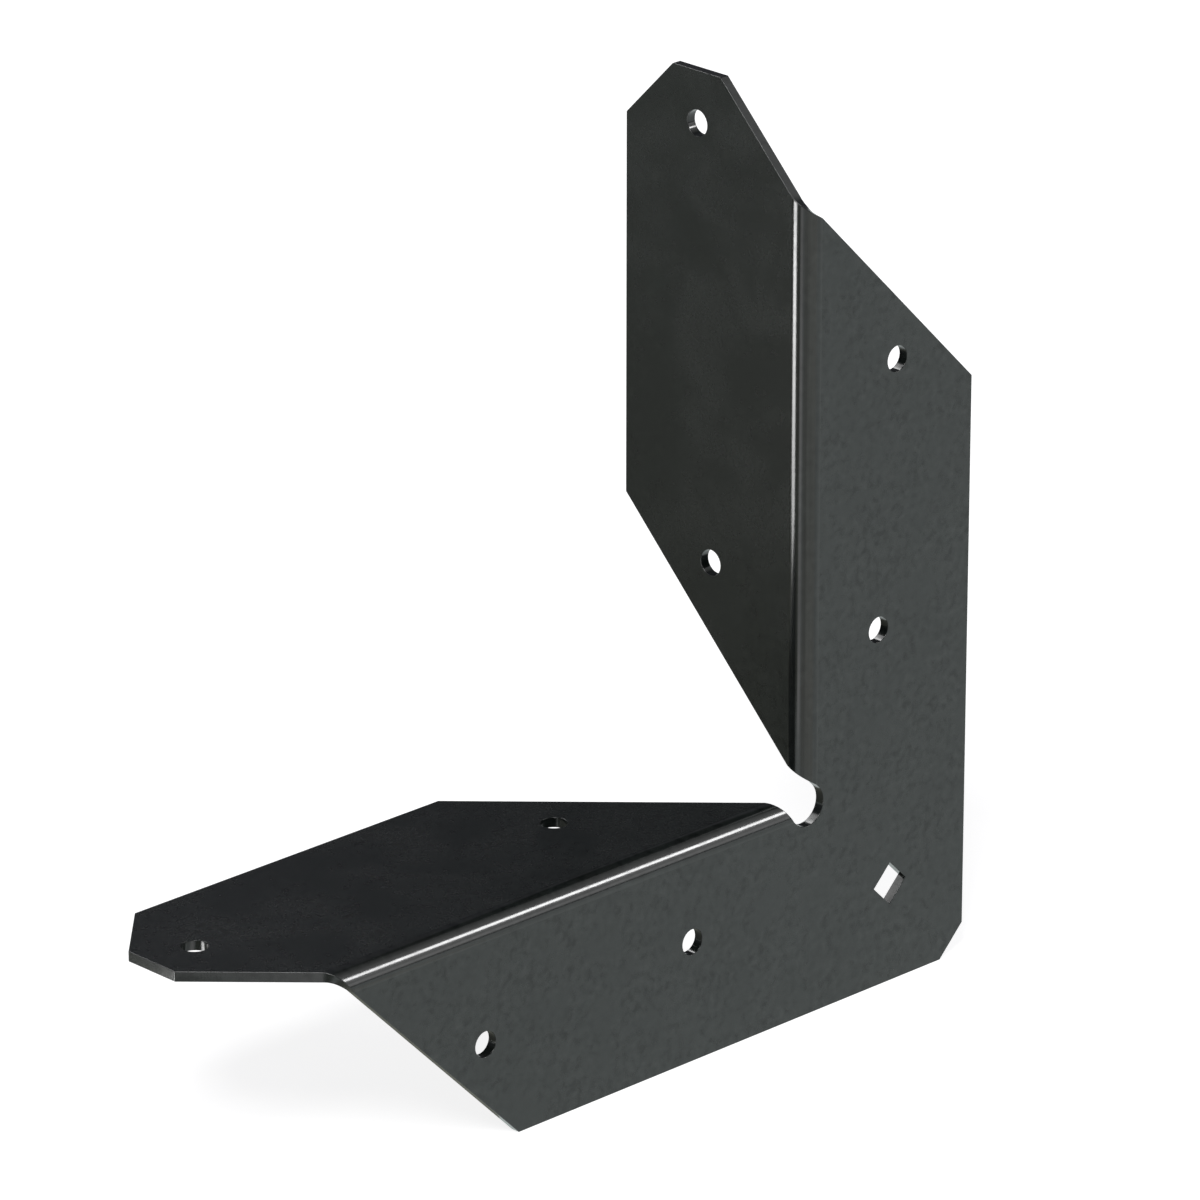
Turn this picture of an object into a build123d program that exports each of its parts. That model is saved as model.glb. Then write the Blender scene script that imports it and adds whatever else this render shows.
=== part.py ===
from build123d import *
import os
from math import pi, sqrt

# Angle connector for a timber corner, cut from one flat steel sheet and folded twice, in millimetres.
# The flat plate covers the corner's face. One flange folds back beside the post, the other over the beam.
# The origin is where the timber's three faces meet: the plate's back is y = 0, the upper flange's inner
# face x = 0 and the lower flange's inner face z = 0. +Z runs up the upper arm, +Y goes into the timber.
# Lengths over the sheet are measured from the corner where the three outer faces would meet.

# Sheet, with its coating, and its folds
sheet = 2.83
inside_radius = 2.83
neutral_share = 0.25

# Outline
overall = 254.0
arm_width = 62.5
flange_depth = 66.3
tip_width = 17.5
tip_back_cut = 17.0
plate_corner_cut = 8.55

# Open slot between the two flanges, with a round end beyond the crossing of the folds
slot_width = 11.7
slot_overrun = 1.05

# Screw holes, two in each face of each arm
screw_hole = 7.14
plate_low_hole_across = 28.3
plate_low_hole_up = 40.3
plate_high_hole_across = 34.0
plate_high_hole_below_tip = 76.9
flange_low_hole_back = 34.4
flange_low_hole_up = 57.3
flange_high_hole_from_back = 26.1
flange_high_hole_below_tip = 14.2

# Square hole on the diagonal, its sides along and across the corner cut, this far in from both outer faces
square_hole = 8.5
square_hole_in = 34.0

# Folds: the length kept through a fold, and what a fold takes off two outside lengths
outside_radius = inside_radius + sheet
fold_length = (inside_radius + neutral_share * sheet) * pi / 2
fold_loss = 2 * outside_radius - fold_length

# Straight cuts of the flat sheet at 45 degrees, as the sum of their distances across and up
reach = overall - arm_width
tip_front = flange_depth - tip_back_cut - tip_width
long_cut = reach - tip_front + fold_loss
slot_cut = slot_width / sqrt(2)

# Cutting tools run past the sheet by this much
spare = 1.0

outer_corner = Vector(-sheet, -sheet, sheet)
plate_face = Plane(origin=outer_corner, x_dir=(1, 0, 0), z_dir=(0, -1, 0))
flange_face = Plane(origin=outer_corner, x_dir=(0, 1, 0), z_dir=(1, 0, 0))
diagonal = Plane(origin=outer_corner, z_dir=(1, 0, 1))


def screw_holes(*centres):
    """Round holes at the given places of a face."""
    return [Pos(across, up) * Circle(screw_hole / 2) for across, up in centres]


def half_plate():
    """The plate's flat part on the upper arm's side of the diagonal, as seen from the front."""
    outline = Polyline(
        (outside_radius, -outside_radius),
        (outside_radius, long_cut - outside_radius),
        (arm_width, long_cut - arm_width),
        (arm_width, plate_corner_cut - arm_width),
        (arm_width - plate_corner_cut / 2, plate_corner_cut / 2 - arm_width),
        close=True,
    )
    low_hole = (plate_low_hole_across, plate_low_hole_up)
    high_hole = (plate_high_hole_across, reach - plate_high_hole_below_tip)
    return make_face(outline) - screw_holes(low_hole, high_hole)


def slot():
    """Slot along the diagonal, from its round end out between the two flanges."""
    round_end = outside_radius * sqrt(2) + slot_overrun - slot_width / 2
    strip = Pos(-overall / 2, 0) * Rectangle(overall, slot_width)
    return Rot(0, 0, -45) * Pos(round_end, 0) * (strip + Circle(slot_width / 2))


def square_opening():
    """Square hole near the plate's outer corner."""
    return Pos(square_hole_in, -square_hole_in) * Rot(0, 0, 45) * Rectangle(square_hole, square_hole)


def plate():
    """The flat plate between both folds, with its slot end and its square hole."""
    half = half_plate()
    other_half = mirror(half, about=Plane(origin=(0, 0, 0), z_dir=(1, 1, 0)))
    return extrude(plate_face * (half + other_half - slot() - square_opening()), amount=-sheet)


def flange():
    """The upper flange's flat part, with its nose, tapered foot and two holes."""
    outline = Polyline(
        (outside_radius, slot_cut - fold_loss + outside_radius),
        (flange_depth, slot_cut - fold_loss + flange_depth),
        (flange_depth, reach - tip_back_cut),
        (flange_depth - tip_back_cut, reach),
        (tip_front, reach),
        (outside_radius, long_cut - fold_loss + outside_radius),
        close=True,
    )
    low_hole = (flange_low_hole_back, flange_low_hole_up)
    high_hole = (flange_depth - flange_high_hole_from_back, reach - flange_high_hole_below_tip)
    return extrude(flange_face * (make_face(outline) - screw_holes(low_hole, high_hole)), amount=sheet)


def cut_round_fold(axis):
    """The long cut where it climbs round the fold, as a screw surface.

    It rises by the fold's length in a quarter turn, from a quarter turn before the plate to just past the flange.
    """
    rise_in_full_turn = 4 * fold_length
    height = 2 * fold_length + spare
    start = axis + Vector(0, 0, long_cut - outside_radius - fold_length)
    inner, outer = (
        Helix(rise_in_full_turn, height, radius, start, lefthand=True).edge()
        for radius in (inside_radius - spare, outside_radius + spare)
    )
    return Face.make_surface_from_curves(inner, outer)


def fold():
    """The rounded fold between plate and flange, from the long cut down to the slot's cut."""
    axis = outer_corner + Vector(outside_radius, outside_radius, 0)
    ring = Circle(outside_radius) - Circle(inside_radius)
    corner = Pos(-outside_radius / 2, -outside_radius / 2) * Rectangle(outside_radius, outside_radius)
    pillar = extrude(Pos(axis) * (ring & corner), amount=overall)
    return pillar & extrude(cut_round_fold(axis), amount=long_cut - slot_cut, dir=(0, 0, -1))


def angle_connector():
    """The whole folded sheet: the plate and two equal flanges on either side of the diagonal."""
    upper = flange() + fold()
    return plate() + upper + mirror(upper, about=diagonal)


os.makedirs("parts", exist_ok=True)
export_step(angle_connector().solid(), "parts/angle_connector.step")
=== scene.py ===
"""Looks of a timber angle connector: one powder-coated steel sheet, folded twice, in a pale studio."""

import logging
import math
from dataclasses import dataclass, field
from enum import Enum

import bmesh
import bpy
from mathutils import Matrix, Vector


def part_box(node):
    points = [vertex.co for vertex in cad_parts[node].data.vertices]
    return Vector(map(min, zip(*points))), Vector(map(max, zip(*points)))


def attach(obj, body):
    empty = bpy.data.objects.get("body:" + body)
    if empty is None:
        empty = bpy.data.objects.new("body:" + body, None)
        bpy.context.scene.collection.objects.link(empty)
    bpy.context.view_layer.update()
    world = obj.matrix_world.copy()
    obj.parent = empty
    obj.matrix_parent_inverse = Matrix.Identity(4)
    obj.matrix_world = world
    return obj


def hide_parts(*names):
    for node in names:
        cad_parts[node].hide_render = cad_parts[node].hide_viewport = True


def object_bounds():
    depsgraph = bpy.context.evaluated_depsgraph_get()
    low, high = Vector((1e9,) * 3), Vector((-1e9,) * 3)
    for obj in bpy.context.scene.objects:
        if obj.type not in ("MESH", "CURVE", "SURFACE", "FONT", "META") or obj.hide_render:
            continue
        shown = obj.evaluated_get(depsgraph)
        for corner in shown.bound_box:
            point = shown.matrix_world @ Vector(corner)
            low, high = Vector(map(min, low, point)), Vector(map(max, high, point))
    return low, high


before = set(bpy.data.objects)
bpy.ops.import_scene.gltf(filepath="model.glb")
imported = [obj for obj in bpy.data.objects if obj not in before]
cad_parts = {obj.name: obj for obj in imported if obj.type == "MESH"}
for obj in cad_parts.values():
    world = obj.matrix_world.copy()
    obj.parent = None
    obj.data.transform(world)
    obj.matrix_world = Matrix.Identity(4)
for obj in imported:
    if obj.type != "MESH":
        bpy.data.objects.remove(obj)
cad_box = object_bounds()

logging.basicConfig(level=logging.INFO, format="%(levelname)s %(message)s")
log = logging.getLogger("angle_connector")

MM = 0.001
QUARTER_TURN = math.pi / 2
Colour = tuple[float, float, float]
Place = tuple[float, float, float]
Socket = bpy.types.NodeSocket
Value = Socket | float | Place
WHITE: Colour = (1.0, 1.0, 1.0)


class Surface(Enum):
    """The connector's kinds of surface, by the number of their material slot."""

    FACE = 0
    FOLD = 1
    CUT_EDGE = 2
    HOLE_WALL = 3


class Mark(Enum):
    """Values kept on a mesh's points for its material to read."""

    BLANK_PLACE = "blank_place"
    ARRIS = "arris"
    GLOW = "glow"


def put_in_scene(name: str, data: bpy.types.ID) -> bpy.types.Object:
    """Make an object and link it to the scene.

    Args:
        name: The object's name.
        data: Its mesh, lamp or camera.

    Returns:
        The object.
    """
    made = bpy.data.objects.new(name, data)
    bpy.context.scene.collection.objects.link(made)
    return made


def as_mesh(bm: bmesh.types.BMesh, name: str) -> bpy.types.Mesh:
    """Turn a finished bmesh into a mesh and free it.

    Args:
        bm: The finished bmesh.
        name: The mesh's name.

    Returns:
        The mesh.
    """
    mesh = bpy.data.meshes.new(name)
    bm.to_mesh(mesh)
    bm.free()
    return mesh


class Wiring:
    """Places nodes in one node tree and joins them."""

    def __init__(self, tree: bpy.types.NodeTree) -> None:
        """Keep the node tree to work in."""
        self.tree = tree
        self.placed = 0

    def node(self, kind: str, **settings: object) -> bpy.types.Node:
        """Add one node.

        Args:
            kind: Blender's name for the node's type.
            settings: Properties to set on the node.

        Returns:
            The new node.
        """
        made = self.tree.nodes.new(kind)
        made.location = (220.0 * (self.placed // 4), -260.0 * (self.placed % 4))
        self.placed += 1
        for name, value in settings.items():
            setattr(made, name, value)
        return made

    def feed(self, socket: Socket, value: Value) -> None:
        """Join a socket to another node's output, or set it to a plain value.

        Args:
            socket: The input socket.
            value: An output socket, a number, a colour or a vector.
        """
        if isinstance(value, Socket):
            self.tree.links.new(value, socket)
        elif isinstance(value, tuple) and socket.type == "RGBA":
            socket.default_value = (*value, 1.0)
        else:
            socket.default_value = value

    def noise(self, place: Value, scale: float, detail: float, distortion: float = 0.0) -> Socket:
        """Add a noise pattern.

        Args:
            place: Where the pattern is read.
            scale: Waves to the metre.
            detail: How many finer layers it has.
            distortion: How far the pattern is stirred.

        Returns:
            The pattern's value, about 0.5 on average.
        """
        made = self.node("ShaderNodeTexNoise")
        self.feed(made.inputs["Vector"], place)
        self.feed(made.inputs["Scale"], scale)
        self.feed(made.inputs["Detail"], detail)
        self.feed(made.inputs["Distortion"], distortion)
        return made.outputs[0]

    def step(self, value: Value, start: float, end: float) -> Socket:
        """Turn a value into a smooth step from 0 to 1.

        Args:
            value: The value to map.
            start: Where the step starts.
            end: Where it ends, below the start for a step that falls.

        Returns:
            The mapped value.
        """
        made = self.node("ShaderNodeMapRange", interpolation_type="SMOOTHSTEP")
        self.feed(made.inputs["Value"], value)
        self.feed(made.inputs["From Min"], start)
        self.feed(made.inputs["From Max"], end)
        return made.outputs["Result"]

    def arithmetic(self, operation: str, first: Value, second: Value) -> Socket:
        """Add one piece of arithmetic.

        Args:
            operation: Blender's name for it, such as ADD.
            first: The first value.
            second: The second value.

        Returns:
            The result.
        """
        made = self.node("ShaderNodeMath", operation=operation)
        self.feed(made.inputs[0], first)
        self.feed(made.inputs[1], second)
        return made.outputs[0]

    def add(self, first: Value, second: Value) -> Socket:
        """Add two values."""
        return self.arithmetic("ADD", first, second)

    def subtract(self, first: Value, second: Value) -> Socket:
        """Take the second value from the first."""
        return self.arithmetic("SUBTRACT", first, second)

    def multiply(self, first: Value, second: Value) -> Socket:
        """Multiply two values."""
        return self.arithmetic("MULTIPLY", first, second)

    def larger(self, first: Value, second: Value) -> Socket:
        """Keep the larger of two values."""
        return self.arithmetic("MAXIMUM", first, second)

    def stretch(self, place: Socket, factors: Place) -> Socket:
        """Multiply a place along each axis.

        Args:
            place: The place to stretch.
            factors: The factor for each axis.

        Returns:
            The stretched place.
        """
        made = self.node("ShaderNodeVectorMath", operation="MULTIPLY")
        self.feed(made.inputs[0], place)
        self.feed(made.inputs[1], factors)
        return made.outputs[0]

    def tint(self, share: Value, first: Value, second: Value) -> Socket:
        """Blend two colours.

        The node's sockets are taken by number, because several of them share a name.

        Args:
            share: How much of the second shows.
            first: The colour under it.
            second: The colour laid over it.

        Returns:
            The blended colour.
        """
        made = self.node("ShaderNodeMix", data_type="RGBA")
        for number, value in ((0, share), (6, first), (7, second)):
            self.feed(made.inputs[number], value)
        return made.outputs[2]

    def attribute(self, mark: Mark, output: str) -> Socket:
        """Read a value that a mesh's points carry, from output Fac for a number or Vector for a place."""
        return self.node("ShaderNodeAttribute", attribute_name=mark.value).outputs[output]

    def effect(self, effect: "Effect", **values: Value) -> bpy.types.Node:
        """Place one of the shared effects.

        Args:
            effect: The effect.
            values: What feeds its inputs, by name.

        Returns:
            The group node.
        """
        made = self.node("ShaderNodeGroup", node_tree=bpy.data.node_groups[effect.name])
        for name, value in values.items():
            self.feed(made.inputs[name], value)
        return made

    def show(self, shader: Socket) -> None:
        """Join a shader to the material's surface."""
        self.feed(self.node("ShaderNodeOutputMaterial").inputs["Surface"], shader)


def empty_material(name: str) -> tuple[bpy.types.Material, Wiring]:
    """Make a material with an empty node tree.

    Args:
        name: The material's name.

    Returns:
        The material and the wiring of its tree.
    """
    made = bpy.data.materials.new(name)
    made.use_nodes = True
    made.node_tree.nodes.clear()
    return made, Wiring(made.node_tree)


@dataclass(frozen=True)
class Effect:
    """A node group that several finishes use, with its sockets."""

    name: str
    inputs: tuple[tuple[str, str], ...]
    outputs: tuple[tuple[str, str], ...]

    def start(self) -> tuple[Wiring, dict[str, Socket], bpy.types.Node]:
        """Make the empty group.

        Returns:
            The wiring of the group, its inputs by name, and the node that takes its outputs.
        """
        tree = bpy.data.node_groups.new(self.name, "ShaderNodeTree")
        for name, kind in self.inputs:
            tree.interface.new_socket(name=name, in_out="INPUT", socket_type=kind)
        for name, kind in self.outputs:
            tree.interface.new_socket(name=name, in_out="OUTPUT", socket_type=kind)
        wiring = Wiring(tree)
        given = wiring.node("NodeGroupInput")
        wanted = wiring.node("NodeGroupOutput")
        return wiring, {name: given.outputs[name] for name, _ in self.inputs}, wanted


MOTTLING = Effect(
    "mottled_coat",
    (("Place", "NodeSocketVector"),),
    (("Clouds", "NodeSocketFloat"), ("Specks", "NodeSocketFloat"), ("Flecks", "NodeSocketFloat")),
)
ORANGE_PEEL = Effect(
    "orange_peel",
    (("Place", "NodeSocketVector"), ("Height", "NodeSocketFloat"), ("Strength", "NodeSocketFloat")),
    (("Normal", "NodeSocketVector"),),
)
ARRIS_WEAR = Effect(
    "arris_wear",
    (("Place", "NodeSocketVector"), ("Arris", "NodeSocketFloat")),
    (("Wear", "NodeSocketFloat"),),
)


def build_mottling() -> None:
    """Build the coat's broad clouds, and its patches of dull dark specks and glossier flecks."""
    wiring, given, wanted = MOTTLING.start()
    place = given["Place"]
    clouds = wiring.step(wiring.noise(place, scale=42.0, detail=3.0, distortion=0.5), start=0.34, end=0.66)
    patches = wiring.step(wiring.noise(place, scale=90.0, detail=3.0, distortion=0.8), start=0.16, end=0.62)
    marks = wiring.noise(place, scale=430.0, detail=5.0, distortion=0.3)
    specks = wiring.step(marks, start=0.55, end=0.27)
    flecks = wiring.step(marks, start=0.50, end=0.76)
    wiring.feed(wanted.inputs["Clouds"], clouds)
    wiring.feed(wanted.inputs["Specks"], wiring.multiply(patches, specks))
    wiring.feed(wanted.inputs["Flecks"], wiring.multiply(patches, flecks))


def build_orange_peel() -> None:
    """Build the faint ripple of a baked coat, with a finer grain and the finish's own relief on it."""
    grain_share = 0.22
    full_depth = 0.05 * MM
    wiring, given, wanted = ORANGE_PEEL.start()
    ripple = wiring.noise(given["Place"], scale=620.0, detail=1.5)
    grain = wiring.noise(given["Place"], scale=3800.0, detail=1.0)
    height = wiring.add(ripple, wiring.multiply(grain, grain_share))
    bump = wiring.node("ShaderNodeBump")
    wiring.feed(bump.inputs["Height"], wiring.add(height, given["Height"]))
    wiring.feed(bump.inputs["Strength"], given["Strength"])
    wiring.feed(bump.inputs["Distance"], full_depth)
    wiring.feed(wanted.inputs["Normal"], bump.outputs["Normal"])


def build_arris_wear() -> None:
    """Build the broken rubbing along the arrises, where the coat is thinnest."""
    wiring, given, wanted = ARRIS_WEAR.start()
    rubbing = wiring.noise(given["Place"], scale=420.0, detail=3.0, distortion=0.5)
    broken = wiring.step(rubbing, start=0.42, end=0.62)
    wiring.feed(wanted.inputs["Wear"], wiring.multiply(given["Arris"], broken))


@dataclass(frozen=True)
class CoatPatterns:
    """The patterns in one coat's material, which its colour, dullness, gloss and relief are made of."""

    wiring: Wiring
    place: Socket
    clouds: Socket
    specks: Socket
    flecks: Socket
    streaks: Socket
    arris: Socket
    wear: Socket


@dataclass(frozen=True)
class PowderCoat:
    """Black powder coat, as it lies on one kind of surface.

    The streaks are fine lines that follow the blank, and their factors are waves to the metre along it.
    """

    name: str
    colour: Colour = (0.0105, 0.0140, 0.0130)
    cloud_colour: Colour = (0.0130, 0.0164, 0.0152)
    speck_colour: Colour = (0.0040, 0.0056, 0.0052)
    fleck_colour: Colour = (0.0150, 0.0182, 0.0170)
    worn_colour: Colour = (0.0220, 0.0240, 0.0230)
    roughness: float = 0.22
    cloud_roughness: float = 0.05
    speck_roughness: float = 0.07
    arris_roughness: float = 0.05
    refraction: float = 1.45
    shine: float = 0.465
    gloss: float = 0.21
    fleck_gloss: float = 0.14
    speck_dulling: float = 0.17
    speck_depth: float = 0.35
    peel: float = 0.16
    streaks: Place = (0.0, 0.0, 0.0)
    streak_height: float = 0.0
    streak_shade: float = 0.0
    streak_dulling: float = 0.0

    def material(self) -> bpy.types.Material:
        """Build the coat's material.

        Returns:
            The material.
        """
        made, wiring = empty_material(self.name)
        patterns = self.patterns(wiring)
        shader = wiring.node("ShaderNodeBsdfPrincipled")
        wiring.feed(shader.inputs["Base Color"], self.layered_colour(patterns))
        wiring.feed(shader.inputs["Roughness"], self.dullness(patterns))
        wiring.feed(shader.inputs["Normal"], self.relief(patterns))
        wiring.feed(shader.inputs["IOR"], self.refraction)
        wiring.feed(shader.inputs["Specular IOR Level"], self.shine)
        wiring.feed(shader.inputs["Coat Weight"], self.glossiness(patterns))
        wiring.feed(shader.inputs["Coat Roughness"], self.roughness)
        wiring.show(shader.outputs["BSDF"])
        return made

    def patterns(self, wiring: Wiring) -> CoatPatterns:
        """Place the patterns that the coat is made of.

        Args:
            wiring: The material's wiring.

        Returns:
            The patterns.
        """
        place = wiring.node("ShaderNodeTexCoord").outputs["Object"]
        mottling = wiring.effect(MOTTLING, Place=place).outputs
        arris = wiring.attribute(Mark.ARRIS, "Fac")
        blank = wiring.attribute(Mark.BLANK_PLACE, "Vector")
        lines = wiring.noise(wiring.stretch(blank, self.streaks), scale=1.0, detail=2.0)
        return CoatPatterns(
            wiring,
            place,
            clouds=mottling["Clouds"],
            specks=mottling["Specks"],
            flecks=mottling["Flecks"],
            streaks=wiring.step(lines, start=0.40, end=0.66),
            arris=arris,
            wear=wiring.effect(ARRIS_WEAR, Place=place, Arris=arris).outputs["Wear"],
        )

    def layered_colour(self, patterns: CoatPatterns) -> Socket:
        """Lay the coat's colours over each other.

        Args:
            patterns: The material's patterns.

        Returns:
            The colour.
        """
        wiring = patterns.wiring
        colour = wiring.tint(patterns.clouds, self.colour, self.cloud_colour)
        colour = wiring.tint(wiring.multiply(patterns.streaks, self.streak_shade), colour, self.speck_colour)
        colour = wiring.tint(patterns.specks, colour, self.speck_colour)
        colour = wiring.tint(patterns.flecks, colour, self.fleck_colour)
        return wiring.tint(patterns.wear, colour, self.worn_colour)

    def dullness(self, patterns: CoatPatterns) -> Socket:
        """Work out how rough the coat is, rougher in its clouds, specks and arrises.

        Args:
            patterns: The material's patterns.

        Returns:
            The roughness.
        """
        wiring = patterns.wiring
        dull = wiring.multiply(patterns.clouds, self.cloud_roughness)
        dull = wiring.add(dull, wiring.multiply(patterns.specks, self.speck_roughness))
        dull = wiring.add(dull, wiring.multiply(patterns.arris, self.arris_roughness))
        return wiring.add(dull, self.roughness)

    def glossiness(self, patterns: CoatPatterns) -> Socket:
        """Work out the gloss on top, less in the specks and streaks and more in the flecks.

        Args:
            patterns: The material's patterns.

        Returns:
            The weight of the gloss.
        """
        wiring = patterns.wiring
        gloss = wiring.subtract(self.gloss, wiring.multiply(patterns.specks, self.speck_dulling))
        gloss = wiring.add(gloss, wiring.multiply(patterns.flecks, self.fleck_gloss))
        return wiring.subtract(gloss, wiring.multiply(patterns.streaks, self.streak_dulling))

    def relief(self, patterns: CoatPatterns) -> Socket:
        """Raise the streaks and sink the specks in the orange peel.

        Args:
            patterns: The material's patterns.

        Returns:
            The normal.
        """
        wiring = patterns.wiring
        raised = wiring.multiply(patterns.streaks, self.streak_height)
        height = wiring.subtract(raised, wiring.multiply(patterns.specks, self.speck_depth))
        peel = wiring.effect(ORANGE_PEEL, Place=patterns.place, Height=height, Strength=self.peel)
        return peel.outputs["Normal"]


COATS = {
    Surface.FACE: PowderCoat("coat_on_faces"),
    Surface.FOLD: PowderCoat(
        "coat_on_folds_painted_reflection",
        # A browner tone than the coat on the faces: a painted reflection of the brownish light along the
        # folds. The streaks are a random pattern.
        colour=(0.0125, 0.0140, 0.0128),
        roughness=0.14,
        cloud_roughness=0.02,
        speck_roughness=0.04,
        shine=0.5,
        gloss=0.40,
        speck_dulling=0.06,
        speck_depth=0.1,
        peel=0.06,
        streaks=(1100.0, 9.0, 0.0),
        streak_height=0.2,
        streak_shade=0.4,
        streak_dulling=0.16,
    ),
    Surface.CUT_EDGE: PowderCoat(
        "coat_on_cut_edges_painted_light",
        # Lighter than the coat on the faces: painted light on the cut edges.
        colour=(0.0145, 0.0178, 0.0166),
        roughness=0.18,
        shine=0.5,
        gloss=0.26,
        streaks=(1900.0, 1900.0, 150.0),
        streak_height=0.5,
        streak_shade=0.6,
    ),
    Surface.HOLE_WALL: PowderCoat(
        "coat_in_holes_painted_shade",
        # Darker than the coat on the faces: painted shade on the walls of the holes and the slot's round
        # end.
        colour=(0.0060, 0.0075, 0.0070),
        roughness=0.11,
        shine=0.5,
        gloss=0.10,
        fleck_gloss=0.10,
        speck_dulling=0.03,
        streaks=(1500.0, 1500.0, 60.0),
        streak_height=0.4,
        streak_shade=0.6,
    ),
}


@dataclass
class FoldedSheet:
    """The connector's one sheet, cut as a flat blank with rounded arrises and then folded twice.

    On the blank, x runs across the plate and y up it from the corner where the outer faces meet, and z is
    the depth below the outer face. The upper half is drawn, and the lower half is its mirror image.
    """

    node: str = "angle_connector"
    inside_radius: float = 2.83 * MM
    neutral_share: float = 0.25
    tip_width: float = 17.5 * MM
    tip_back_cut: float = 17.0 * MM
    plate_corner_cut: float = 8.55 * MM
    slot_width: float = 11.7 * MM
    slot_overrun: float = 1.05 * MM
    screw_hole: float = 7.14 * MM
    plate_low_hole_across: float = 28.3 * MM
    plate_low_hole_up: float = 40.3 * MM
    plate_high_hole_across: float = 34.0 * MM
    plate_high_hole_below_tip: float = 76.9 * MM
    flange_low_hole_back: float = 34.4 * MM
    flange_low_hole_up: float = 57.3 * MM
    flange_high_hole_from_back: float = 26.1 * MM
    flange_high_hole_below_tip: float = 14.2 * MM
    square_hole: float = 8.5 * MM
    square_hole_in: float = 34.0 * MM
    arris_radius: float = 0.18 * MM
    arris_segments: int = 3
    hole_segments: int = 72
    fold_segments: int = 28
    slot_segments: int = 32
    same_place: float = 0.001 * MM
    flat_within: float = math.radians(0.5)
    sharp_from: float = math.radians(20)
    sheet: float = field(init=False)
    arm_width: float = field(init=False)
    reach: float = field(init=False)
    flange_depth: float = field(init=False)

    def __post_init__(self) -> None:
        """Take the sheet's main sizes from the frame."""
        lowest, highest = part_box(self.node)
        self.sheet = -lowest.y
        self.arm_width = highest.x + self.sheet
        self.reach = highest.z - self.sheet
        self.flange_depth = highest.y + self.sheet

    @property
    def outside_radius(self) -> float:
        """Radius of a fold's outer face."""
        return self.inside_radius + self.sheet

    @property
    def fold_length(self) -> float:
        """Length of the blank that goes into one fold."""
        return (self.inside_radius + self.neutral_share * self.sheet) * QUARTER_TURN

    @property
    def fold_loss(self) -> float:
        """What a fold takes off two outside lengths."""
        return 2 * self.outside_radius - self.fold_length

    @property
    def slot_cut(self) -> float:
        """Sum of the distances across and up along the slot's upper side."""
        return self.slot_width / math.sqrt(2)

    @property
    def long_cut(self) -> float:
        """Sum of the distances across and up along the long slanted cut."""
        tip_front = self.flange_depth - self.tip_back_cut - self.tip_width
        return self.reach - tip_front + self.fold_loss

    @property
    def slot_inward(self) -> float:
        """How far across the slot's round end is centred, and as far down."""
        return (self.outside_radius * math.sqrt(2) + self.slot_overrun - self.slot_width / 2) / math.sqrt(2)

    def build(self) -> bpy.types.Object:
        """Cut the blank, give it its thickness and its round arrises, and fold it.

        Returns:
            The bare connector.
        """
        bm = bmesh.new()
        blank_place = bm.verts.layers.float_vector.new(Mark.BLANK_PLACE.value)
        self.cut_half(bm)
        for point in bm.verts:
            point[blank_place] = point.co
        self.add_other_half(bm)
        self.thicken(bm)
        self.round_arrises(bm)
        for point in bm.verts:
            point[blank_place].z = point.co.z
            point.co = self.folded(point.co)
        for face in bm.faces:
            face.smooth = True
        made = put_in_scene("folded_angle_connector", as_mesh(bm, self.node + "_folded"))
        shading = made.modifiers.new("even_shading", "WEIGHTED_NORMAL")
        shading.mode = "FACE_AREA"
        return made

    def cut_half(self, bm: bmesh.types.BMesh) -> None:
        """Cut the blank's upper half with its holes.

        Args:
            bm: The mesh to draw in.
        """
        corner, far = self.outside_radius, self.outside_radius - self.fold_length
        fold_places = (
            (corner, self.slot_cut - corner, 0),
            (corner, self.long_cut - corner, 0),
            (far, self.long_cut - far, 0),
            (far, self.slot_cut - far, 0),
        )
        fold = [bm.verts.new(place) for place in fold_places]
        flange = [fold[2], *(bm.verts.new(place) for place in self.flange_outline()), fold[3]]
        plate = [fold[1], fold[0], *self.slot_end(bm), *self.half_square(bm)]
        plate += [bm.verts.new(place) for place in self.plate_outline()]
        holes = self.hole_centres()
        self.fill(bm, plate, holes[:2])
        self.fill(bm, flange, holes[2:])

        strip = bm.faces.new(fold)
        strip.material_index = Surface.FOLD.value
        ends = [bm.edges.get((fold[1], fold[2])), bm.edges.get((fold[3], fold[0]))]
        bmesh.ops.subdivide_edges(bm, edges=ends, cuts=self.fold_segments - 1, use_grid_fill=True)

    def flange_outline(self) -> list[Place]:
        """Find the upper flange's free corners on the blank.

        Returns:
            The corners, from the nose's front down its back to the foot.
        """
        tip_depth = self.flange_depth - self.tip_back_cut
        foot = self.slot_cut - self.fold_loss + self.flange_depth
        return [
            self.unrolled(self.reach, tip_depth - self.tip_width),
            self.unrolled(self.reach, tip_depth),
            self.unrolled(self.reach - self.tip_back_cut, self.flange_depth),
            self.unrolled(foot, self.flange_depth),
        ]

    def plate_outline(self) -> list[Place]:
        """Find the corners on the far side of the plate's upper half.

        Returns:
            The corners, from the diagonal up to the long cut.
        """
        half_cut = self.plate_corner_cut / 2
        return [
            (self.arm_width - half_cut, half_cut - self.arm_width, 0.0),
            (self.arm_width, self.plate_corner_cut - self.arm_width, 0.0),
            (self.arm_width, self.long_cut - self.arm_width, 0.0),
        ]

    def hole_centres(self) -> list[Place]:
        """Find the screw holes of the blank's upper half.

        Returns:
            The centres of the plate's two holes, and then of the flange's.
        """
        plate_high_up = self.reach - self.plate_high_hole_below_tip
        flange_high_up = self.reach - self.flange_high_hole_below_tip
        return [
            (self.plate_low_hole_across, self.plate_low_hole_up, 0.0),
            (self.plate_high_hole_across, plate_high_up, 0.0),
            self.unrolled(self.flange_low_hole_up, self.flange_low_hole_back),
            self.unrolled(flange_high_up, self.flange_depth - self.flange_high_hole_from_back),
        ]

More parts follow.
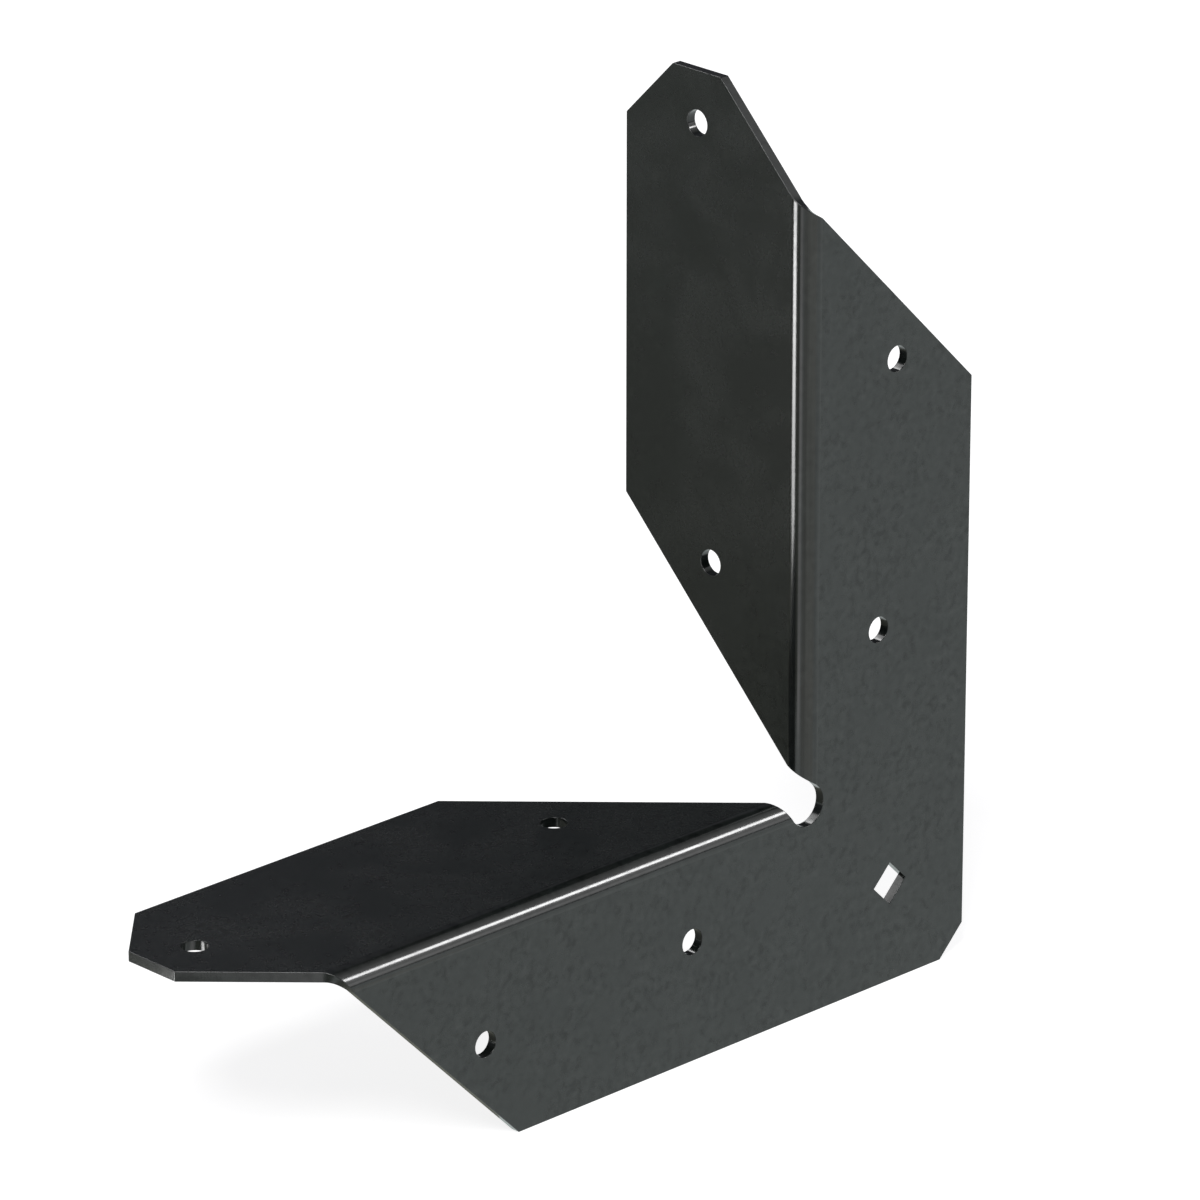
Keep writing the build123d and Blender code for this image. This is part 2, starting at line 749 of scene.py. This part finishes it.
    def unrolled(self, up: float, depth: float) -> Place:
        """Find on the blank a point of the upper flange, by its height and depth from the outer corner."""
        return (self.outside_radius - self.fold_length - (depth - self.outside_radius), up, 0.0)

    def slot_end(self, bm: bmesh.types.BMesh) -> list[bmesh.types.BMVert]:
        """Draw the upper half of the slot's round end.

        Args:
            bm: The mesh to draw in.

        Returns:
            The arc's points, from the slot's straight side to its deepest point.
        """
        centre = Vector((self.slot_inward, -self.slot_inward, 0))
        start = bm.verts.new(centre + Vector((1, 1, 0)).normalized() * self.slot_width / 2)
        before = set(bm.verts)
        bmesh.ops.spin(
            bm, geom=[start], cent=centre, axis=(0, 0, 1), angle=-QUARTER_TURN, steps=self.slot_segments // 2
        )
        arc = [point for point in bm.verts if point not in before]
        return [start, *sorted(arc, key=lambda point: (point.co - start.co).length)]

    def half_square(self, bm: bmesh.types.BMesh) -> list[bmesh.types.BMVert]:
        """Draw the upper half of the square hole on the diagonal.

        Args:
            bm: The mesh to draw in.

        Returns:
            Its points, from the slot's side outwards.
        """
        centre = Vector((self.square_hole_in, -self.square_hole_in, 0))
        along = Vector((1, -1, 0)).normalized() * self.square_hole / 2
        across = Vector((1, 1, 0)).normalized() * self.square_hole / 2
        return [bm.verts.new(centre + step) for step in (-along, across - along, across + along, along)]

    def fill(self, bm: bmesh.types.BMesh, outline: list[bmesh.types.BMVert], holes: list[Place]) -> None:
        """Fill an outline around its screw holes.

        Args:
            bm: The mesh to draw in.
            outline: The outline's points in order.
            holes: The centres of the screw holes.
        """
        rims = []
        for first, second in zip(outline, outline[1:] + outline[:1]):
            rims.append(bm.edges.get((first, second)) or bm.edges.new((first, second)))
        for centre in holes:
            place = Matrix.Translation(centre)
            ring = bmesh.ops.create_circle(
                bm, segments=self.hole_segments, radius=self.screw_hole / 2, matrix=place
            )
            rims += dict.fromkeys(edge for point in ring["verts"] for edge in point.link_edges)
        bmesh.ops.triangle_fill(bm, use_beauty=True, edges=rims, normal=(0, 0, 1))

    def add_other_half(self, bm: bmesh.types.BMesh) -> None:
        """Mirror the blank across its diagonal and join its flat faces.

        Args:
            bm: The blank's upper half.
        """
        half = bm.verts[:] + bm.edges[:] + bm.faces[:]
        turned = Matrix.Rotation(QUARTER_TURN / 2, 4, "Z").inverted()
        bmesh.ops.mirror(bm, geom=half, matrix=turned, merge_dist=self.same_place, axis="X")
        bmesh.ops.remove_doubles(bm, verts=bm.verts[:], dist=self.same_place)
        flat = {face for face in bm.faces if face.material_index == Surface.FACE.value}
        inner = [edge for edge in bm.edges if len(edge.link_faces) == 2 and flat.issuperset(edge.link_faces)]
        bmesh.ops.dissolve_limit(
            bm, angle_limit=self.flat_within, verts=[], edges=inner, delimit={"MATERIAL"}
        )
        bmesh.ops.recalc_face_normals(bm, faces=bm.faces[:])

    def thicken(self, bm: bmesh.types.BMesh) -> None:
        """Give the blank its thickness, the outer faces looking down, and tell its walls apart.

        Args:
            bm: The blank.
        """
        if bm.faces[0].normal.z > 0:
            bmesh.ops.reverse_faces(bm, faces=bm.faces[:])
        made = bmesh.ops.extrude_face_region(bm, geom=bm.faces[:], use_keep_orig=True)
        inner = [point for point in made["geom"] if isinstance(point, bmesh.types.BMVert)]
        bmesh.ops.translate(bm, verts=inner, vec=(0, 0, self.sheet))
        bmesh.ops.recalc_face_normals(bm, faces=bm.faces[:])
        for wall in [face for face in bm.faces if abs(face.normal.z) < 0.5]:
            inside = self.in_hole(wall.calc_center_median())
            wall.material_index = (Surface.HOLE_WALL if inside else Surface.CUT_EDGE).value

    def in_hole(self, place: Vector) -> bool:
        """Tell a hole's wall or the slot's round end from the blank's outer cuts.

        Args:
            place: The middle of a wall's face on the blank.

        Returns:
            Whether it lies in a hole or in the slot's end.
        """
        slack = 0.1 * MM
        across, up = (place.x, place.y) if place.x + place.y >= 0 else (-place.y, -place.x)
        rings = [(Vector(centre[:2]), self.screw_hole / 2) for centre in self.hole_centres()]
        rings.append((Vector((self.slot_inward, -self.slot_inward)), self.slot_width / 2))
        rings.append((Vector((self.square_hole_in, -self.square_hole_in)), self.square_hole / math.sqrt(2)))
        return any((Vector((across, up)) - centre).length < radius + slack for centre, radius in rings)

    def round_arrises(self, bm: bmesh.types.BMesh) -> None:
        """Round every arris of the flat blank, and mark where it is round.

        Args:
            bm: The thick blank.
        """
        sharp = [edge for edge in bm.edges if edge.calc_face_angle(0) > self.sharp_from]
        made = bmesh.ops.bevel(
            bm,
            geom=sharp,
            offset=self.arris_radius,
            offset_type="OFFSET",
            segments=self.arris_segments,
            profile=0.5,
            affect="EDGES",
            material=-1,
        )
        rounded = set(made["faces"])
        mark = bm.verts.layers.float.new(Mark.ARRIS.value)
        for point in bm.verts:
            point[mark] = 1.0 if rounded.issuperset(point.link_faces) else 0.0

    def folded(self, flat: Vector) -> Vector:
        """Find where a point of the blank lies once both flanges are folded.

        Args:
            flat: The point on the blank.

        Returns:
            The point in the connector's frame.
        """
        upper = flat.x + flat.y >= 0
        across, up = (flat.x, flat.y) if upper else (-flat.y, -flat.x)
        radius = self.outside_radius
        past = radius - across
        if past <= 0:
            x, y = across, flat.z
        elif past < self.fold_length:
            turn = QUARTER_TURN * past / self.fold_length
            x = radius - (radius - flat.z) * math.sin(turn)
            y = radius - (radius - flat.z) * math.cos(turn)
        else:
            x, y = flat.z, radius + past - self.fold_length
        x, z = (x, up) if upper else (-up, -x)
        return Vector((x - self.sheet, y - self.sheet, z + self.sheet))

    def dress(self, made: bpy.types.Object) -> None:
        """Coat the connector and let it stand for its node.

        Args:
            made: The bare connector.
        """
        for surface in Surface:
            made.data.materials.append(COATS[surface].material())
        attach(made, "root")
        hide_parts(self.node)


@dataclass
class StudioFloor:
    """A round pale floor with a low upturned rim, centred under the connector."""

    level: float
    radius: float = 4.0
    rim_radius: float = 0.5
    rim_turn: float = math.radians(40)
    rim_steps: int = 12
    round_steps: int = 96
    same_place: float = 0.01 * MM
    whiteness: float = 0.50
    glow: Colour = (0.86, 0.86, 0.86)
    gloss_glow: Colour = (0.675, 0.750, 0.730)

    def build(self) -> bpy.types.Object:
        """Make the floor.

        Returns:
            The floor.
        """
        bm = bmesh.new()
        middle = bm.verts.new((0, 0, self.level))
        edge = bm.verts.new((self.radius, 0, self.level))
        bm.edges.new((middle, edge))
        bend = Vector((self.radius, 0, self.level + self.rim_radius))
        bmesh.ops.spin(
            bm, geom=[edge], cent=bend, axis=(0, 1, 0), angle=-self.rim_turn, steps=self.rim_steps
        )
        bmesh.ops.spin(
            bm,
            geom=bm.verts[:] + bm.edges[:],
            cent=(0, 0, 0),
            axis=(0, 0, 1),
            angle=2 * math.pi,
            steps=self.round_steps,
            use_merge=True,
        )
        bmesh.ops.remove_doubles(bm, verts=bm.verts[:], dist=self.same_place)
        bmesh.ops.recalc_face_normals(bm, faces=bm.faces[:])
        mesh = as_mesh(bm, "studio_floor")
        mesh.materials.append(self.material())
        made = put_in_scene("studio_floor", mesh)
        return made

    def material(self) -> bpy.types.Material:
        """Make pale paper that shows white to the camera and in gloss, and still takes a shadow.

        Returns:
            The material.
        """
        made, wiring = empty_material("pale_floor")
        paper = wiring.node("ShaderNodeBsdfDiffuse")
        wiring.feed(paper.inputs["Color"], (self.whiteness,) * 3)
        rays = wiring.node("ShaderNodeLightPath").outputs
        seen = wiring.larger(rays["Is Camera Ray"], rays["Is Glossy Ray"])
        seen = wiring.larger(seen, rays["Is Transmission Ray"])
        light = wiring.node("ShaderNodeEmission")
        wiring.feed(light.inputs["Color"], wiring.tint(rays["Is Camera Ray"], self.gloss_glow, self.glow))
        wiring.feed(light.inputs["Strength"], seen)
        both = wiring.node("ShaderNodeAddShader")
        wiring.feed(both.inputs[0], paper.outputs[0])
        wiring.feed(both.inputs[1], light.outputs[0])
        wiring.show(both.outputs[0])
        return made


@dataclass(frozen=True)
class SoftSun:
    """A distant soft light."""

    name: str
    towards: Place
    power: float
    spread: float

    def build(self) -> bpy.types.Object:
        """Hang the light.

        Returns:
            The lamp.
        """
        lamp = bpy.data.lights.new(self.name, "SUN")
        lamp.energy = self.power
        lamp.angle = self.spread
        made = put_in_scene(self.name, lamp)
        made.rotation_euler = Vector(self.towards).to_track_quat("Z", "Y").to_euler()
        return made


@dataclass(frozen=True)
class SoftBox:
    """A soft box that faces the connector, its width lying along a given direction as far as that allows."""

    name: str
    aim: Place
    towards: Place
    distance: float
    along: Place
    width: float
    height: float
    brightness: float

    def build(self) -> bpy.types.Object:
        """Set up the soft box, its power worked out from how bright its face is.

        Returns:
            The lamp.
        """
        lamp = bpy.data.lights.new(self.name, "AREA")
        lamp.shape = "RECTANGLE"
        lamp.size = self.width
        lamp.size_y = self.height
        lamp.energy = self.brightness * math.pi * self.width * self.height
        made = put_in_scene(self.name, lamp)
        back = Vector(self.towards).normalized()
        side = Vector(self.along) - Vector(self.along).dot(back) * back
        side.normalize()
        turn = Matrix((side, back.cross(side), back)).transposed().to_4x4()
        made.matrix_world = Matrix.Translation(Vector(self.aim) + back * self.distance) @ turn
        made.visible_camera = False
        return made


@dataclass(frozen=True)
class GlossCard:
    """A lit card that shows only in the connector's gloss.

    It is built of rows, each a line between two places with its own brightness.
    """

    name: str
    colour: Colour
    rows: tuple[tuple[Place, Place, float], ...]

    @classmethod
    def on_floor(
        cls, name: str, colour: Colour, level: float, rows: tuple[tuple[float, float, float, float], ...]
    ) -> "GlossCard":
        """Lay a wedge on the floor that spreads from the connector's upright fold.

        Args:
            name: The card's name.
            colour: Its colour.
            level: The height it lies at.
            rows: Each row's distance and brightness, and the two bearings, in degrees from -X towards +Y,
                that it lies between.

        Returns:
            The card.
        """
        made = []
        for far, glow, *bearings in rows:
            turns = [math.radians(bearing) for bearing in bearings]
            ends = [(-far * math.cos(turn), far * math.sin(turn), level) for turn in turns]
            made.append((*ends, glow))
        return cls(name, colour, tuple(made))

    @classmethod
    def over_arch(
        cls,
        name: str,
        colour: Colour,
        radius: float,
        span: tuple[float, float],
        rows: tuple[tuple[float, float], ...],
    ) -> "GlossCard":
        """Bend a card into an arch in front of the connector and over it, along the level fold.

        Args:
            name: The card's name.
            colour: Its colour.
            radius: The arch's radius.
            span: Where its sides lie along X.
            rows: The angle above the floor in front, in degrees, and the brightness of each row.

        Returns:
            The card.
        """
        left, right = span
        made = []
        for angle, glow in rows:
            y, z = -radius * math.cos(math.radians(angle)), radius * math.sin(math.radians(angle))
            made.append(((left, y, z), (right, y, z), glow))
        return cls(name, colour, tuple(made))

    @classmethod
    def standing(
        cls,
        name: str,
        colour: Colour,
        behind: float,
        span: tuple[float, float],
        rows: tuple[tuple[float, float], ...],
    ) -> "GlossCard":
        """Stand a card upright behind the connector.

        Args:
            name: The card's name.
            colour: Its colour.
            behind: How far back it stands.
            span: The heights of its lower and upper edge.
            rows: Where each row stands along X, and its brightness.

        Returns:
            The card.
        """
        bottom, top = span
        made = []
        for x, glow in rows:
            made.append(((x, behind, bottom), (x, behind, top), glow))
        return cls(name, colour, tuple(made))

    def build(self) -> bpy.types.Object:
        """Make the card.

        Returns:
            The card.
        """
        bm = bmesh.new()
        glow = bm.verts.layers.float.new(Mark.GLOW.value)
        before = None
        for first, second, brightness in self.rows:
            pair = [bm.verts.new(first), bm.verts.new(second)]
            for point in pair:
                point[glow] = brightness
            if before:
                bm.faces.new((*before, pair[1], pair[0]))
            before = pair
        mesh = as_mesh(bm, self.name)
        mesh.materials.append(self.material())
        made = put_in_scene(self.name, mesh)
        made.visible_camera = False
        made.visible_diffuse = False
        made.visible_shadow = False
        made.visible_transmission = False
        return made

    def material(self) -> bpy.types.Material:
        """Light the card as brightly as its rows say.

        Returns:
            The material.
        """
        made, wiring = empty_material(self.name)
        light = wiring.node("ShaderNodeEmission")
        wiring.feed(light.inputs["Color"], self.colour)
        wiring.feed(light.inputs["Strength"], wiring.attribute(Mark.GLOW, "Fac"))
        wiring.show(light.outputs[0])
        return made


@dataclass(frozen=True)
class StudioLights:
    """The lamps that light the connector, and the cards that its gloss mirrors."""

    floor_level: float
    mat_lift: float = 0.5 * MM
    card_lift: float = 1.0 * MM

    def build(self) -> list[bpy.types.Object]:
        """Hang the lamps, put up all the cards and return them."""
        return [light.build() for light in (*self.lamps(), *self.high_cards(), *self.floor_cards())]

    def lamps(self) -> tuple[SoftBox, SoftSun]:
        """Describe the lamps.

        Returns:
            The key light on the plate, and the fill light over the flanges.
        """
        key = SoftBox(
            "key_softbox",
            aim=(-0.07, 0.0, 0.0),
            towards=(0.635, -0.538, 0.555),
            distance=6.0,
            along=(1.0, 0.0, 0.0),
            width=0.90,
            height=1.00,
            brightness=21.0,
        )
        return key, SoftSun("fill_light", towards=(-0.55, -0.35, 0.76), power=1.6, spread=math.radians(18))

    def high_cards(self) -> tuple[GlossCard, ...]:
        """Describe the cards that stand or hang clear of the floor.

        Returns:
            The cards mirrored by the nose's arris, the holes' walls, the lower flange and the lower fold.
        """
        overhead = GlossCard(
            "overhead_card",
            WHITE,
            rows=(
                ((-2.10, -1.50, 1.90), (-0.70, -1.50, 1.90), 8.0),
                ((-2.10, -0.30, 1.90), (-0.70, -0.30, 1.90), 8.0),
            ),
        )
        rear = GlossCard.standing(
            "rear_card",
            WHITE,
            behind=2.0,
            span=(1.78, 2.50),
            rows=((1.30, 0.0), (1.05, 9.0), (0.02, 6.2), (-1.40, 2.8)),
        )
        dim = GlossCard.standing(
            "dim_card",
            colour=(0.90, 0.87, 1.0),
            behind=0.43,
            span=(0.10, 0.36),
            rows=((-0.15, 0.095), (0.16, 0.090), (0.26, 0.068), (0.34, 0.038), (0.48, 0.030), (0.62, 0.085)),
        )
        arch = GlossCard.over_arch(
            "white_arch",
            WHITE,
            radius=6.4,
            span=(1.5, 9.0),
            rows=(
                (6.5, 1.7),
                (18.0, 1.8),
                (22.0, 1.15),
                (26.0, 1.15),
                (30.0, 1.4),
                (60.0, 0.9),
                (76.0, 0.6),
                (90.0, 0.3),
                (106.0, 0.0),
            ),
        )
        return overhead, rear, dim, arch

    def floor_cards(self) -> tuple[GlossCard, ...]:
        """Describe the mat and the wedges that lie on the floor.

        Returns:
            The mat mirrored by the upper flange, and the wedges mirrored by the upright fold.
        """
        level = self.floor_level + self.card_lift
        mat_level = self.floor_level + self.mat_lift
        mat = GlossCard(
            "grey_mat",
            colour=(0.275, 0.285, 0.245),
            rows=(
                ((0.02, 0.004, mat_level), (0.02, 0.14, mat_level), 1.0),
                ((-0.205, 0.004, mat_level), (-0.205, 0.38, mat_level), 1.0),
                ((-0.206, -0.042, mat_level), (-0.206, 0.38, mat_level), 1.0),
                ((-0.85, -0.176, mat_level), (-0.85, 1.05, mat_level), 0.9),
            ),
        )
        bright = GlossCard.on_floor(
            "bright_strip",
            WHITE,
            level,
            rows=(
                (0.24, 10.0, 10.6, 22.5),
                (0.36, 13.0, 10.6, 22.5),
                (0.39, 10.0, 10.6, 29.0),
                (0.46, 10.0, 10.4, 28.5),
                (0.60, 17.0, 9.5, 28.0),
                (0.72, 20.0, 9.0, 27.0),
            ),
        )
        line_rows = ((0.19, 1.8), (0.26, 1.8), (0.28, 1.1), (0.32, 1.1), (0.34, 1.8), (0.75, 1.8))
        line = GlossCard.on_floor(
            "light_line", WHITE, level, rows=tuple((far, glow, -26.4, -13.5) for far, glow in line_rows)
        )
        warm = GlossCard.on_floor(
            "warm_line",
            colour=(0.970, 1.0, 0.945),
            level=level,
            rows=((0.15, 1.02, -100.0, -52.0), (0.90, 1.02, -100.0, -52.0)),
        )
        dim = GlossCard.on_floor(
            "dim_line",
            colour=(0.84, 0.86, 0.82),
            level=level,
            rows=((0.15, 0.88, -52.0, -33.0), (0.75, 0.88, -52.0, -33.0)),
        )
        return mat, bright, line, warm, dim


@dataclass(frozen=True)
class StudioCamera:
    """The camera, placed as the photograph shows the connector."""

    target: Place = (-27.46 * MM, 47.91 * MM, 51.73 * MM)
    distance: float = 2140.3 * MM
    azimuth: float = math.radians(44.243)
    elevation: float = math.radians(21.401)
    roll: float = math.radians(0.031)
    lens: float = 244.46
    sensor_width: float = 36.0
    nearest: float = 0.1
    farthest: float = 50.0

    def build(self) -> bpy.types.Object:
        """Set up the camera and make it the scene's.

        Returns:
            The camera.
        """
        sight = bpy.data.cameras.new("studio_camera")
        sight.lens = self.lens
        sight.sensor_width = self.sensor_width
        sight.clip_start = self.nearest
        sight.clip_end = self.farthest
        made = put_in_scene("studio_camera", sight)
        level = math.cos(self.elevation)
        left, ahead = -math.sin(self.azimuth) * level, -math.cos(self.azimuth) * level
        back = Vector((left, ahead, math.sin(self.elevation)))
        made.location = Vector(self.target) + back * self.distance
        turn = back.to_track_quat("Z", "Y").to_matrix() @ Matrix.Rotation(self.roll, 3, "Z")
        made.rotation_euler = turn.to_euler()
        bpy.context.scene.camera = made
        return made


@dataclass(frozen=True)
class Surroundings:
    """The dim room beyond the lamps."""

    colour: Colour = (0.097, 0.094, 0.108)

    def build(self) -> None:
        """Set the world's even light."""
        world = bpy.data.worlds.new("dim_room")
        world.use_nodes = True
        world.node_tree.nodes["Background"].inputs["Color"].default_value = (*self.colour, 1.0)
        bpy.context.scene.world = world


def main() -> None:
    """Build the connector, the studio and the camera, and report each."""
    for build_effect in (build_mottling, build_orange_peel, build_arris_wear):
        build_effect()
    sheet = FoldedSheet()
    connector = sheet.build()
    sheet.dress(connector)
    faces, points = len(connector.data.polygons), len(connector.data.vertices)
    log.info("%s: %d faces, %d points", connector.name, faces, points)
    floor_gap = 0.02 * MM
    floor_level = cad_box[0].z - floor_gap
    floor = StudioFloor(floor_level).build()
    log.info("%s at %.2f mm", floor.name, floor_level / MM)
    Surroundings().build()
    for light in StudioLights(floor_level).build():
        log.info("%s", light.name)
    camera = StudioCamera().build()
    log.info("%s with a %.0f mm lens", camera.name, camera.data.lens)
    bpy.context.scene.view_settings.view_transform = "Standard"


if __name__ == "__main__":
    main()
